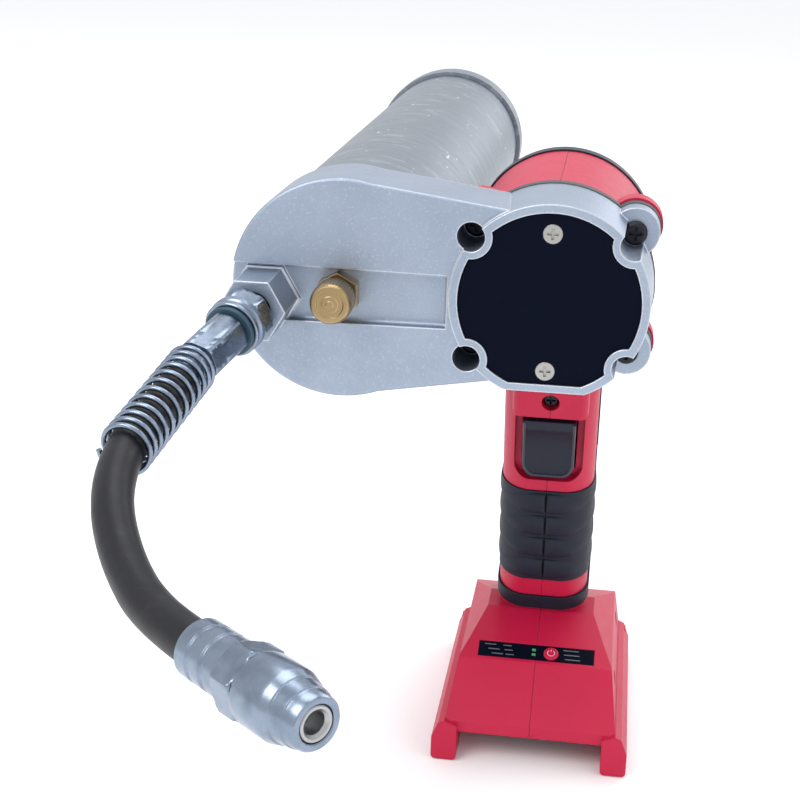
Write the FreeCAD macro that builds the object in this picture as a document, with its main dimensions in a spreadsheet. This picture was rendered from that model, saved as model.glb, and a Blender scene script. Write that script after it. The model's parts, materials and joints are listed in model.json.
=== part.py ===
import FreeCAD, Part
import math
import os
import Sketcher

# Cordless grease gun, in millimetres, +Z up.  Origin: middle of the battery rails' mouth, on the
# plane of the base's feet.  The gear axis runs along Y above it; -Y is the working front with
# the cover plate and the hose port, +Y is the rear with the barrel's end and the rod handle.
# Shapes are drawn in the gear frame, whose origin is the middle of the cover plate's face.

Vector = FreeCAD.Vector
doc = FreeCAD.newDocument("GreaseGun")

SIZES = {
    # place of the gear frame over the feet
    "front_y": -96, "axis_height": 190.5,
    # pump head casting
    "head_radius": 30.2, "head_back_radius": 31.4, "head_depth": 27, "head_lip": 0.8,
    "flat_drop": 27.6, "flat_half": 14.3, "screw_x": 24.2, "screw_rise": 18.9,
    "counterbore_radius": 4.3, "counterbore_depth": 20, "ear_radius": 7.6,
    "barrel_clearance": 0.4,
    "cover_radius": 27.4, "cover_notch": 6.7, "cover_thick": 2.2, "cover_screw_rise": 21.2,
    "gear_room_radius": 23.6, "gear_room_depth": 19.6,
    "arm_front": 1, "arm_radius": 34.2, "arm_edge": 1.0, "channel_depth": 3,
    "channel_low": -10.8, "channel_high": 6.9, "channel_end": -31,
    # barrel
    "barrel_x": -63.7, "barrel_radius": 32.25, "barrel_wall": 1.6, "barrel_start": 15,
    "barrel_end": 296, "cap_radius": 34.2, "cap_end": 301.6, "rod_radius": 3.5, "rod_travel": 200,
    # port, bleed valve and plunger
    "port_x": -87.5, "port_z": -4, "boss_corner": 10.4, "boss_front": -15,
    "bleed_x": -64.2, "bleed_z": -1.2, "plunger_depth": 9.6, "plunger_radius": 3, "throw": 4,
    # motor and gears
    "shroud_radius": 31, "shroud_wall": 2.6, "shroud_end": 92, "rear_cap_end": 101,
    "gasket_depth": 4, "module": 0.9, "sun_teeth": 12, "planet_teeth": 15, "ring_teeth": 42,
    "motor_radius": 25, "motor_start": 45, "motor_end": 82,
    # handle and base
    "handle_width": 34, "handle_depth": 42, "handle_tilt": 15.8, "handle_top_y": 77.4,
    "shell_wall": 2.4, "base_half": 31.5, "foot_half": 36, "foot_thick": 9.4, "foot_drop": 11,
    "base_front": 53, "base_back": 147, "handle_end": 174, "trigger_travel": 7, "button_travel": 0.8,
    # hose
    "hose_diameter": 10.6, "guard_radius": 6.75, "guard_wire": 1.5,
}

sizes = doc.addObject("Spreadsheet::Sheet", "Sizes")
for row, (alias, number) in enumerate(SIZES.items(), start=1):
    sizes.set(f"A{row}", alias)
    sizes.set(f"B{row}", str(number))
    sizes.setAlias(f"B{row}", alias)
doc.recompute()

NODES = []
gap = 0.1                      # running clearance between a shaft and its bore, on the radius
half_turn = 180


def bind(text):
    """A size expression as other objects write it: each alias gets the sheet's name."""
    words = ""
    word = ""
    for letter in str(text) + " ":
        if letter.isalnum() or letter == "_":
            word += letter
            continue
        words += ("Sizes." + word if word in SIZES else word) + letter
        word = ""
    return words.strip()


def size(text):
    number = sizes.evalExpression(str(text))
    return float(getattr(number, "Value", number))


def plain(text):
    """True where an expression is zero, which a distance constraint can't hold."""
    return abs(size(text)) < 1e-9


def aim(direction):
    """The turn that takes local +Z to a direction."""
    return FreeCAD.Rotation(Vector(0, 0, 1), Vector(*direction))


def put(thing, at, turn):
    """Place a sub-part at a point of the gear frame, bound to the sheet."""
    thing.Placement = FreeCAD.Placement(Vector(0, 0, 0), turn)
    for letter, text, shift in zip("xyz", at, ("0", "front_y", "axis_height")):
        thing.setExpression(f"Placement.Base.{letter}", bind(f"{text} + {shift}"))


def keep(thing, label):
    thing.Label = label
    NODES.append(thing)
    return thing


def draw(body, plane, corners, name="Outline"):
    """A closed sketch of straight lines whose corners are bound to the sheet."""
    sketch = body.newObject("Sketcher::SketchObject", body.Name + name)
    face = [o for o in body.Origin.OriginFeatures if o.Role == plane][0]
    sketch.AttachmentSupport = (face, [""])
    sketch.MapMode = "FlatFace"
    places = [Vector(size(u), size(v), 0) for u, v in corners]
    count = len(places)
    for i in range(count):
        sketch.addGeometry(Part.LineSegment(places[i], places[(i + 1) % count]), False)
    for i in range(count):
        sketch.addConstraint(Sketcher.Constraint("Coincident", i, 2, (i + 1) % count, 1))
    for i, corner in enumerate(corners):
        for kind, axis, text in (("DistanceX", -2, corner[0]), ("DistanceY", -1, corner[1])):
            if plain(text):
                sketch.addConstraint(Sketcher.Constraint("PointOnObject", i, 1, axis))
            else:
                rule = Sketcher.Constraint(kind, -1, 1, i, 1, size(text))
                place = sketch.addConstraint(rule)
                sketch.setExpression(f"Constraints[{place}]", bind(text))
    return sketch


def turned(label, corners, at, toward=(0, 1, 0)):
    """A piece turned about its own axis; corners are (radius, distance along the axis)."""
    body = doc.addObject("PartDesign::Body", label)
    sketch = draw(body, "XZ_Plane", corners)
    revolution = body.newObject("PartDesign::Revolution", label + "_turning")
    revolution.Profile = sketch
    revolution.ReferenceAxis = (sketch, ["V_Axis"])
    revolution.Angle = 360
    put(body, at, aim(toward))
    return keep(body, label)


def tube_of(inner, outer, start, end):
    return [(inner, start), (outer, start), (outer, end), (inner, end)]


def shaped(label, shape):
    """A piece whose shape is worked out below, from the sheet's sizes, in the gear frame."""
    feature = doc.addObject("Part::Feature", label)
    if not shape.Placement.isIdentity():
        shape = Part.makeCompound([shape])
    feature.Shape = shape
    put(feature, ("0", "0", "0"), FreeCAD.Rotation())
    return keep(feature, label)


def rod(radius, start, end):
    start, end = Vector(*start), Vector(*end)
    return Part.makeCylinder(radius, (end - start).Length, start, end - start)


def block(low, high):
    """A box between two opposite corners."""
    spans = [abs(high[i] - low[i]) for i in range(3)]
    return Part.makeBox(*spans, Vector(*[min(low[i], high[i]) for i in range(3)]))


def slab_y(outline, start, end):
    """An outline in X and Z, given depth along Y."""
    points = [Vector(x, start, z) for x, z in outline]
    face = Part.Face(Part.makePolygon(points + points[:1]))
    return face.extrude(Vector(0, end - start, 0))


def slab_x(outline, start, end):
    """An outline in Y and Z, given width along X."""
    points = [Vector(start, y, z) for y, z in outline]
    face = Part.Face(Part.makePolygon(points + points[:1]))
    return face.extrude(Vector(end - start, 0, 0))


def hexagon(corner, start, end, flat_top=True):
    """A hexagonal bar between two points."""
    start, end = Vector(*start), Vector(*end)
    phase = 0 if flat_top else 30
    points = []
    for i in range(7):
        angle = math.radians(60 * i + phase)
        points.append(Vector(corner * math.cos(angle), corner * math.sin(angle), 0))
    face = Part.Face(Part.makePolygon(points))
    bar = face.extrude(Vector(0, 0, (end - start).Length))
    along = end - start
    side = Vector(1, 0, 0) - along * (along.x / along.dot(along))
    up = along.cross(side)
    frame = FreeCAD.Rotation(side, up, along, "ZXY")
    bar.Placement = FreeCAD.Placement(start, frame)
    return bar


def single(shape):
    """The one solid of a boolean's result, with its split faces joined where that works."""
    joined = shape.copy().removeSplitter()
    if not joined.isValid():
        joined = shape
    return max(joined.Solids, key=lambda solid: solid.Volume)


# ---------------------------------------------------------------- pump head casting
screw_x, screw_rise = size("screw_x"), size("screw_rise")
SCREWS = [(side * screw_x, rise * screw_rise) for side in (-1, 1) for rise in (-1, 1)]
head_depth, head_lip = size("head_depth"), size("head_lip")
barrel_x = size("barrel_x")
port = (size("port_x"), size("boss_front"), size("port_z"))
FITTING = Vector(-8, -33, -7).normalize()      # the hose port looks outwards and a little down


def along_fitting(distance):
    return tuple(Vector(*port) + FITTING * distance)


def head_outline(inset):
    """Where the gear housing keeps its flat, chamfered bottom."""
    low = -size("flat_drop") + inset
    half = size("flat_half") - inset * 0.4
    shoulder = half + 5.7
    return [(-40, 40), (-40, low + 4.8), (-shoulder, low + 4.8), (-half, low), (half, low),
            (shoulder, low + 4.8), (40, low + 4.8), (40, 40)]


def pump_head():
    back, depth = size("head_back_radius"), size("head_depth")
    ring = Part.makeCone(size("head_radius"), back, depth + head_lip,
                         Vector(0, -head_lip, 0), Vector(0, 1, 0))
    ring = ring.common(slab_y(head_outline(0), -head_lip, depth))
    front, edge = size("arm_front"), size("arm_edge")
    reach = size("arm_radius")
    web = slab_y([(barrel_x + 1, 34.15), (-14.7, 27.7), (0, 24), (0, -22), (-15.6, -25.7),
                  (barrel_x + 1, -33.9)], front, depth)
    round_end = rod(reach, (barrel_x, front, 0), (barrel_x, depth, 0))
    arm = single(web.fuse(round_end))
    edges = [e for e in arm.Edges if abs(e.BoundBox.YMin - front) < 0.01
             and abs(e.BoundBox.YMax - front) < 0.01 and e.BoundBox.XMin < -16]
    arm = arm.makeFillet(edge, edges)
    low, high, end = size("channel_low"), size("channel_high"), size("channel_end")
    floor = front + size("channel_depth")
    channel = slab_y([(-110, low), (end, low + 0.6), (end, high - 0.6), (-110, high)],
                     front - 1, floor)
    channel = channel.makeFillet(1.2, [e for e in channel.Edges
                                       if abs(e.BoundBox.YMin - floor) < 0.01])
    arm = arm.cut(channel)
    ears = [rod(size("ear_radius"), (x, size("counterbore_depth"), z), (x, depth, z))
            for x, z in SCREWS]
    boss = hexagon(size("boss_corner") + 0.8, (port[0], floor + 1, port[2]),
                   (port[0], floor - 1.5, port[2]))
    tower = hexagon(size("boss_corner"), (port[0], floor, port[2]), port)
    body = ring.fuse([arm, boss, tower] + ears)
    bores = []
    for x, z in SCREWS:
        bores.append(rod(size("counterbore_radius"), (x, -2, z),
                         (x, size("counterbore_depth"), z)))
        bores.append(rod(2.3, (x, 0, z), (x, depth + 1, z)))
    recess = cover_outline(0.15).cut(block((-40, size("cover_thick") + 0.1, -40), (40, 60, 40)))
    room = size("gear_room_radius")
    cavity = rod(room, (0, 0, 0), (0, size("gear_room_depth"), 0))
    rise = size("cover_screw_rise")
    for sign in (-1, 1):
        tower_screw = rod(4.2, (0, size("cover_thick") + 0.1, sign * rise), (0, 19, sign * rise))
        cavity = cavity.cut(tower_screw)
        bores.append(rod(1.55, (0, 0, sign * rise), (0, 14, sign * rise)))
    seat = rod(11, (0, 10, 0), (0, depth + 1, 0))
    level = size("plunger_depth")
    bore = size("plunger_radius")
    bores += [
        rod(4.6, (-20, level, 0), (-56, level, 0)),
        rod(bore + 0.5, (-50, level, 0), (port[0], level, 0)),
        rod(bore + 0.5, (port[0], level, -5), (port[0], level, 2)),
        rod(5.7, along_fitting(-9), along_fitting(2)),
        rod(9.3, along_fitting(1.5), along_fitting(14)),
        rod(bore + 0.5, (port[0], level + 2, port[2]), along_fitting(-8.5)),
        rod(1.2, (size("bleed_x"), 3, size("bleed_z")), (size("bleed_x"), level, 0)),
        rod(3.1, (size("bleed_x"), 0, size("bleed_z")), (size("bleed_x"), 6.5, size("bleed_z"))),
    ]
    socket = rod(size("barrel_radius") + 0.15, (barrel_x, size("barrel_start"), 0),
                 (barrel_x, depth + 1, 0))
    inlet = rod(2.5, (-50, level, 0), (-50, 20, 0))
    for hollow in [recess, cavity, seat, socket, inlet] + bores:
        body = body.cut(hollow)
    return single(body)


def cover_outline(grow):
    """The cover plate: round, with a flat bottom and a hollow at each corner screw."""
    radius, notch = size("cover_radius") + grow, size("cover_notch") - grow
    top = -head_lip - 0.5 if grow else 0
    plate = rod(radius, (0, top, 0), (0, size("cover_thick"), 0))
    plate = plate.common(slab_y(head_outline(2.5 - grow), top, size("cover_thick")))
    for x, z in SCREWS:
        plate = plate.cut(rod(notch, (x, top - 1, z), (x, 10, z)))
    return plate


def cover_plate():
    plate = cover_outline(0)
    rise = size("cover_screw_rise")
    for sign in (-1, 1):
        plate = plate.cut(rod(1.75, (0, -1, sign * rise), (0, 5, sign * rise)))
        plate = plate.cut(Part.makeCone(3.1, 1.75, 1.35, Vector(0, 0, sign * rise),
                                        Vector(0, 1, 0)))
    return single(plate)


def phillips(center, across, deep, direction):
    """The cross-shaped recess of a screw head."""
    cuts = []
    turn = aim(direction)
    for angle in (0, 90):
        arm = block((-across / 2, -across / 9, -0.01), (across / 2, across / 9, deep))
        arm.Placement = FreeCAD.Placement(Vector(*center), turn.multiply(
            FreeCAD.Rotation(Vector(0, 0, 1), angle)))
        cuts.append(arm)
    return cuts[0].fuse(cuts[1])


def countersunk_screw(x, y, z):
    head = Part.makeCone(2.95, 1.45, 1.3, Vector(x, y, z), Vector(0, 1, 0))
    shank = rod(1.45, (x, y, z), (x, y + 10, z))
    return single(head.fuse(shank).cut(phillips((x, y, z), 3.4, 0.9, (0, 1, 0))))


def pan_screw(place, direction, head_radius, head_height, shank_radius, length):
    """A pan-head screw whose head's underside is at a place, the shank running on."""
    place, direction = Vector(*place), Vector(*direction).normalize()
    top = place - direction * head_height
    head = Part.makeCylinder(head_radius, head_height, top, direction)
    rim = [e for e in head.Edges if e.Curve.TypeId == "Part::GeomCircle"
           and abs((e.CenterOfMass - top).Length) < 0.1]
    head = head.makeFillet(head_height * 0.45, rim)
    shank = Part.makeCylinder(shank_radius, length, place, direction)
    recess = phillips(tuple(top), head_radius * 1.15, head_height * 0.55, tuple(direction))
    return single(head.fuse(shank).cut(recess))


shaped("pump_head", pump_head())
shaped("cover_plate", cover_plate())
rise = size("cover_screw_rise")
shaped("cover_screws", Part.makeCompound([countersunk_screw(0, 0.02, rise),
                                          countersunk_screw(0, 0.02, -rise)]))
shaped("head_screws", Part.makeCompound([
    pan_screw((x, size("counterbore_depth"), z), (0, 1, 0), 3.7, 2.6, 1.9, 22)
    for x, z in SCREWS]))

# ---------------------------------------------------------------- flange gasket
gasket_end = head_depth + size("gasket_depth")


def flange(start, end, inner, radius, lobe):
    disc = rod(radius, (0, start, 0), (0, end, 0))
    lobes = [rod(lobe, (x, start, z), (x, end, z)) for x, z in SCREWS]
    return disc.fuse(lobes).cut([rod(inner, (0, start - 1, 0), (0, end + 1, 0))])


def screw_holes(radius, start, end):
    return [rod(radius, (x, start, z), (x, end, z)) for x, z in SCREWS]


barrel_room = rod(size("barrel_radius + barrel_clearance"), (barrel_x, head_depth, 0),
                  (barrel_x, size("rear_cap_end") + 10, 0))
gasket = flange(head_depth, gasket_end, 20, size("head_back_radius") + 0.3,
                size("ear_radius") + 0.3)
gasket = gasket.cut(screw_holes(2.2, 0, gasket_end + 1) + [barrel_room])
shaped("head_gasket", single(gasket))

# ---------------------------------------------------------------- bleed valve
BLEED = ("bleed_x", "arm_front + channel_depth", "bleed_z")
bleed = (size("bleed_x"), size(BLEED[1]), size("bleed_z"))
bleed_body = hexagon(6.9, bleed, (bleed[0], bleed[1] - 5, bleed[2]), False)
bleed_body = bleed_body.fuse([rod(3.0, (bleed[0], 6.2, bleed[2]), (bleed[0], 0, bleed[2])),
                              rod(4.6, bleed, (bleed[0], bleed[1] - 7.5, bleed[2]))])
bleed_body = bleed_body.cut([rod(2.6, (bleed[0], bleed[1] - 8, bleed[2]),
                                 (bleed[0], bleed[1] - 1, bleed[2])),
                             rod(1, (bleed[0], bleed[1] - 2, bleed[2]), (bleed[0], 8, bleed[2]))])
shaped("bleed_body", single(bleed_body))


def bleed_knob():
    """A knurled brass knob with its needle, screwed into the bleed body."""
    top, bottom = bleed[1] - 17, bleed[1] - 8
    points = []
    knurls = 36
    for i in range(knurls * 2):
        radius = 6.4 if i % 2 else 6.1
        angle = math.pi * i / knurls
        points.append((bleed[0] + radius * math.cos(angle), bleed[2] + radius * math.sin(angle)))
    grip = slab_y(points, top + 0.8, bottom)
    crown = Part.makeCone(5.5, 6.05, 0.8, Vector(bleed[0], top, bleed[2]), Vector(0, 1, 0))
    needle = rod(2.5, (bleed[0], bottom, bleed[2]), (bleed[0], bleed[1] - 1.6, bleed[2]))
    return single(grip.fuse([crown, needle]))


shaped("bleed_knob", bleed_knob())

# ---------------------------------------------------------------- pump drive
level = size("plunger_depth")
turned("plunger_sleeve", tube_of(f"plunger_radius + {gap / 2}", "4.55", "0", "30"),
       ("-25.5", "plunger_depth", "0"), (-1, 0, 0))
plunger_tip = -54
yoke_half = 8.4
plunger = rod(size("plunger_radius"), (-12, level, 0), (plunger_tip, level, 0))
shaped("plunger", single(plunger.fuse(rod(4.2, (-12, level, 0), (-14, level, 0)))))
yoke = block((-12, level - 3, -yoke_half), (5.6, level + 3, yoke_half))
yoke = yoke.cut(block((-3.3, level - 4, -7.2), (3.3, level + 4, 7.2)))
shaped("plunger_yoke", single(yoke))
turned("plunger_seal", tube_of("plunger_radius + 0.05", "4.55", "0", "1.4"),
       ("-24", "plunger_depth", "0"), (-1, 0, 0))
shaft = rod(4, (0, 15, 0), (0, 30.2, 0))
disc = rod(8.6, (0, 14.8, 0), (0, 18.4, 0))
pin = rod(3, (0, level + 3.5, size("throw")), (0, 15.2, size("throw")))
shaped("crankshaft", single(shaft.fuse([disc, pin])))
turned("output_bearing", tube_of("4.05", "10.95", "20", "26.5"), ("0", "0", "0"))

# ---------------------------------------------------------------- planetary gears
module = size("module")
ring_start, ring_end = 34.5, 41.5
carrier_front, carrier_back = 30.4, 33.8


def gear_outline(teeth, phase, outward, root, tip):
    """The points of a gear: straight-flanked teeth between two circles, in X and Z."""
    points = []
    step = 360 / teeth
    pitch = teeth * module / 2
    half_root = math.degrees(0.80 / pitch)
    half_tip = math.degrees(0.36 / pitch)
    base, crest = (root, tip) if outward else (tip, root)
    for i in range(teeth):
        middle = phase + i * step
        for angle, radius in ((middle - half_root, base), (middle - half_tip, crest),
                              (middle + half_tip, crest), (middle + half_root, base)):
            turn = math.radians(angle)
            points.append((radius * math.cos(turn), radius * math.sin(turn)))
    return points


def moved(outline, x, z):
    return [(u + x, v + z) for u, v in outline]


def ring_gear():
    """Inward teeth with a gap at each planet's direction."""
    teeth = int(size("ring_teeth"))
    pitch = teeth * module / 2
    step = 360 / teeth
    hole = gear_outline(teeth, 90 + step / 2, False, pitch - 0.75, pitch + 1.0)
    blank = rod(pitch + 4.6, (0, ring_start, 0), (0, ring_end, 0))
    return single(blank.cut(slab_y(hole, ring_start - 1, ring_end + 1)))


planet_pitch = size("planet_teeth") * module / 2
sun_pitch = size("sun_teeth") * module / 2
planet_orbit = planet_pitch + sun_pitch
PLANET_ANGLES = (90, 210, 330)
shaped("ring_gear", ring_gear())


def planet(angle):
    x = planet_orbit * math.cos(math.radians(angle))
    z = planet_orbit * math.sin(math.radians(angle))
    teeth = int(size("planet_teeth"))
    outline = gear_outline(teeth, angle + half_turn + half_turn / teeth, True,
                           planet_pitch - 1.0, planet_pitch + 0.7)
    gear = slab_y(moved(outline, x, z), ring_start + 0.3, ring_end - 0.3)
    return single(gear.cut(rod(2.1, (x, 30, z), (x, 50, z))))


def carrier():
    plate = rod(15.6, (0, carrier_front, 0), (0, carrier_back, 0))
    plate = plate.cut(rod(4, (0, 0, 0), (0, 60, 0)))
    hub = rod(6.4, (0, 28, 0), (0, carrier_front, 0)).cut(rod(4, (0, 0, 0), (0, 60, 0)))
    pins = []
    for angle in PLANET_ANGLES:
        x = planet_orbit * math.cos(math.radians(angle))
        z = planet_orbit * math.sin(math.radians(angle))
        pins.append(rod(2.0, (x, carrier_front + 1, z), (x, ring_end, z)))
    return single(plate.fuse([hub] + pins))


shaped("planet_carrier", carrier())
for number, angle in enumerate(PLANET_ANGLES, start=1):
    shaped(f"planet_gear_{number}", planet(angle))
case = rod(size("shroud_radius") - size("shroud_wall") - 0.1, (0, gasket_end, 0), (0, 45, 0))
case = case.cut([rod(size("ring_teeth") * module / 2 + 4.6, (0, 30, 0), (0, ring_end + 0.1, 0)),
                 rod(9, (0, 30, 0), (0, 50, 0))] + screw_holes(2.6, 30, 46))
shaped("gear_case", single(case))

# ---------------------------------------------------------------- motor
turned("motor_can", [("9", "motor_start"), ("motor_radius", "motor_start"),
                     ("motor_radius", "motor_end"), ("8.2", "motor_end"),
                     ("8.2", "motor_end - 3"), ("motor_radius - 3", "motor_end - 3"),
                     ("motor_radius - 3", "motor_start + 3"), ("9", "motor_start + 3")],
       ("0", "0", "0"))
bearing = [tube_of("2.55", "8.15", "motor_start - 2", "motor_start + 3"),
           tube_of("2.55", "8.15", "motor_end - 3", "motor_end + 2")]
races = []
for corners in bearing:
    low, high = size(corners[0][1]), size(corners[2][1])
    race = rod(8.15, (0, low, 0), (0, high, 0)).cut(rod(2.55, (0, low - 1, 0), (0, high + 1, 0)))
    races.append(race.cut(rod(6.4, (0, low - 1, 0), (0, low + 0.6, 0)).cut(
        rod(4.2, (0, low - 1, 0), (0, low + 0.6, 0)))))
shaped("motor_bearings", Part.makeCompound(races))
sun = gear_outline(int(size("sun_teeth")), 0, True, sun_pitch - 1.0, sun_pitch + 0.7)
axle = rod(2.45, (0, 35, 0), (0, 90.5, 0))
shaped("rotor_shaft", single(axle.fuse(slab_y(sun, ring_start + 0.3, ring_end + 0.8))))


def rotor_core():
    """A laminated rotor: round, with shallow slots for its magnets."""
    core = rod(15.5, (0, 51, 0), (0, 76, 0)).cut(rod(2.5, (0, 40, 0), (0, 90, 0)))
    slots = []
    for i in range(8):
        turn = math.radians(45 * i)
        x, z = 15.2 * math.cos(turn), 15.2 * math.sin(turn)
        slots.append(rod(1.5, (x, 50, z), (x, 77, z)))
    return single(core.cut(slots))


def cooling_fan():
    """A hub disc with straight blades behind the motor."""
    hub = rod(22, (0, 85, 0), (0, 86.2, 0)).fuse(rod(6, (0, 85, 0), (0, 90.3, 0)))
    blades = []
    count = 9
    for i in range(count):
        blade = block((7, 86, -0.6), (21, 90.2, 0.6))
        blade.rotate(Vector(0, 0, 0), Vector(0, 1, 0), 360 * i / count)
        blades.append(blade)
    return single(hub.fuse(blades).cut(rod(2.5, (0, 80, 0), (0, 95, 0))))


shaped("rotor_core", rotor_core())
shaped("cooling_fan", cooling_fan())

# ---------------------------------------------------------------- handle frame
tilt = math.radians(size("handle_tilt"))
DOWN = Vector(0, math.sin(tilt), -math.cos(tilt))
BACK = Vector(0, math.cos(tilt), math.sin(tilt))
TOP = Vector(0, size("handle_top_y"), 0)


def on_handle(x, back, down):
    """A point given across, behind the handle's centre line and down along it."""
    return TOP + Vector(x, 0, 0) + BACK * back + DOWN * down


def handle_bar(width, depth, start, end, corner):
    """A bar with rounded corners along the handle's centre line."""
    half, deep = width / 2, depth / 2
    points = [on_handle(x, y, start) for x, y in ((-half, -deep), (half, -deep),
                                                  (half, deep), (-half, deep))]
    bar = Part.Face(Part.makePolygon(points + points[:1])).extrude(DOWN * (end - start))
    return bar.makeFillet(corner, [e for e in bar.Edges
                                   if abs(e.tangentAt(e.FirstParameter).dot(DOWN)) > 0.999])


def handle_block(low, high):
    """A box square to the handle; low and high are (across, back, down)."""
    points = [on_handle(x, y, low[2]) for x, y in ((low[0], low[1]), (high[0], low[1]),
                                                   (high[0], high[1]), (low[0], high[1]))]
    return Part.Face(Part.makePolygon(points + points[:1])).extrude(DOWN * (high[2] - low[2]))


GRIP_TOP, GRIP_END, RING_TOP, RING_END = 90.3, 133, 141.1, 147.2
FRONT_SCREW = 49
width, depth = size("handle_width"), size("handle_depth")
foot_plane = -size("axis_height")
ceiling = foot_plane + size("foot_drop")
base_front, base_back = size("base_front"), size("base_back")


def base_solid(inset):
    """The base under the handle, all round smaller by an inset."""
    half = size("base_half") - inset
    low = ceiling + inset * 1.2
    side = [(base_front + inset, low), (base_front + inset, -175.2 - inset * 0.3),
            (69.5 + inset, -160.6 - inset), (72 + inset, -158.4 - inset),
            (81 + inset, -154.4 - inset), (97 + inset, -148.2 - inset),
            (112 - inset, -148.2 - inset),
            (base_back - 1.5 - inset, -160.5 - inset), (base_back - inset, -162.5 - inset),
            (base_back - inset, low)]
    hull = slab_x(side, -half, half)
    top, shoulder = 20.5 - inset, 28.6 - inset
    front = [(-half, low - 1), (-half, -176), (-shoulder, -158), (-top, -148.2 - inset),
             (top, -148.2 - inset), (shoulder, -158), (half, -176), (half, low - 1)]
    return hull.common(slab_y(front, 40, 150))


def feet():
    """Two skirts beside the battery bay, with the rails' ledges on their inner faces."""
    outer, thick = size("foot_half"), size("foot_thick")
    skirts = []
    for side in (-1, 1):
        outline = [(side * outer, foot_plane), (side * (outer - thick), foot_plane),
                   (side * (outer - thick), ceiling + 3), (side * 31.4, ceiling + 5),
                   (side * 33.6, ceiling + 4), (side * outer, ceiling - 2)]
        skirt = slab_y(outline, base_front - 2, base_back)
        upright = [e for e in skirt.Edges if e.Length > 60 and abs(e.CenterOfMass.z) > 180]
        skirts.append(skirt.makeFillet(1.6, upright))
    back = block((-size("foot_half") + 1.5, base_back - 4, foot_plane),
                 (size("foot_half") - 1.5, base_back, ceiling + 3))
    return skirts + [back]


def handle_post(inset):
    """The handle's bar, cut away behind the rear cap."""
    bar = handle_bar(width - 2 * inset, depth - 2 * inset, 20, size("handle_end"), 11 - inset)
    web = [(size("rear_cap_end") - 3 - inset, 0), (size("rear_cap_end") - 3 - inset, -30),
           (115 - inset, -54), (140, -54), (140, 0)]
    return bar.cut(slab_x(web, -30, 30))


def housing_skin(inset):
    """The whole outer body, or the room inside it when an inset is given."""
    radius = size("shroud_radius") - inset
    start = gasket_end - (1 if inset else 0)
    end = size("shroud_end") + (1 if inset else 0)
    pieces = [rod(radius, (0, start, 0), (0, end, 0)), handle_post(inset), base_solid(inset)]
    if not inset:
        pieces += [rod(size("ear_radius") + 1, (x, gasket_end, z), (x, gasket_end + 7, z))
                   for x, z in SCREWS]
        bezel = handle_block((-13.5, -depth / 2 - 3.2, 26), (13.5, -10, 56))
        pieces.append(bezel.makeFillet(3, [e for e in bezel.Edges
                                           if abs(e.tangentAt(e.FirstParameter).x) < 0.01
                                           and e.Length < 35]))
        pieces += feet()
    return pieces[0].fuse(pieces[1:])


TRIGGER_TOP, TRIGGER_END = 57.0, 81.5
OPENING_HALF, POCKET_HALF, POCKET_DEPTH = 9.9, 12.4, 4.5
housing = housing_skin(0)
posts = []
HOUSING_SCREWS = [on_handle(0, 14, 62), on_handle(0, 13, 100), on_handle(0, -12, 128),
                  Vector(0, 131, -166), Vector(0, 84, -168), on_handle(0, 6, 36)]
for place in HOUSING_SCREWS:
    posts.append(rod(3.6, (-20, place.y, place.z), (20, place.y, place.z)))
room = housing_skin(size("shell_wall"))
guide = handle_block((-POCKET_HALF - 2, -depth / 2, 50),
                     (POCKET_HALF + 2, -depth / 2 + POCKET_DEPTH + 2.4, 88))
room = room.cut(posts + [guide])
housing = housing.cut(room)
pocket_cut = handle_block((-POCKET_HALF, -depth, TRIGGER_TOP - 1.5),
                          (POCKET_HALF, -depth / 2 + POCKET_DEPTH, 85.5))
pocket_cut = pocket_cut.makeFillet(6, [
    e for e in pocket_cut.Edges if abs(e.tangentAt(e.FirstParameter).dot(BACK)) > 0.999
    and (e.CenterOfMass - on_handle(0, 0, 85.5)).dot(DOWN) > -1])
opening = handle_block((-OPENING_HALF, -depth, TRIGGER_TOP - 0.5),
                       (OPENING_HALF, -2, TRIGGER_END + 0.6))
PANEL_LOW, PANEL_HIGH = Vector(0, 72, -158.4), Vector(0, 81, -154.4)
panel_along = (PANEL_HIGH - PANEL_LOW).normalize()
panel_out = Vector(1, 0, 0).cross(panel_along)
if panel_out.z < 0:
    panel_out = panel_out * -1
panel_middle = (PANEL_LOW + PANEL_HIGH) * 0.5


def on_panel(x, up, out):
    return panel_middle + Vector(x, 0, 0) + panel_along * up + panel_out * out


def panel_block(low, high):
    """A box square to the label panel; low and high are (across, up the slope, outwards)."""
    points = [on_panel(x, y, low[2]) for x, y in ((low[0], low[1]), (high[0], low[1]),
                                                  (high[0], high[1]), (low[0], high[1]))]
    return Part.Face(Part.makePolygon(points + points[:1])).extrude(
        panel_out * (high[2] - low[2]))


button_spot = (5.6, -0.2)
housing = housing.cut([
    opening,
    pocket_cut,
    panel_block((-21.8, -3.6, -0.9), (21.8, 3.6, 2)),
    Part.makeCylinder(3.0, 8, on_panel(*button_spot, -6), panel_out),
    block((-16, 62, ceiling - 2), (16, 128, ceiling + 6)),
    Part.makeCylinder(1.6, 30, on_handle(0, -40, FRONT_SCREW), BACK),
    Part.makeCylinder(3.2, 10, on_handle(0, -depth / 2 - 9.5, FRONT_SCREW), BACK),
] + screw_holes(1.75, 20, 45))
grip_recess = handle_bar(width + 2, depth + 2, GRIP_TOP, GRIP_END, 12).cut(
    handle_bar(width - 2.6, depth - 2.6, GRIP_TOP - 1, GRIP_END + 1, 9.7))
ring_recess = handle_bar(width + 2, depth + 2, RING_TOP, RING_END, 12).cut(
    handle_bar(width - 2, depth - 2, RING_TOP - 1, RING_END + 1, 10))
strip_recess = [handle_block((side * (width / 2 - 1.2), -4, 40),
                             (side * (width / 2 + 3), 15, 80)) for side in (-1, 1)]
housing = housing.cut([grip_recess, ring_recess] + strip_recess)
vents = []
for side in (-1, 1):
    for i in range(6):
        y = 52 + 5.5 * i
        slot = block((side * 26, y, -8), (side * 34, y + 2.4, 8))
        vents.append(slot)
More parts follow.
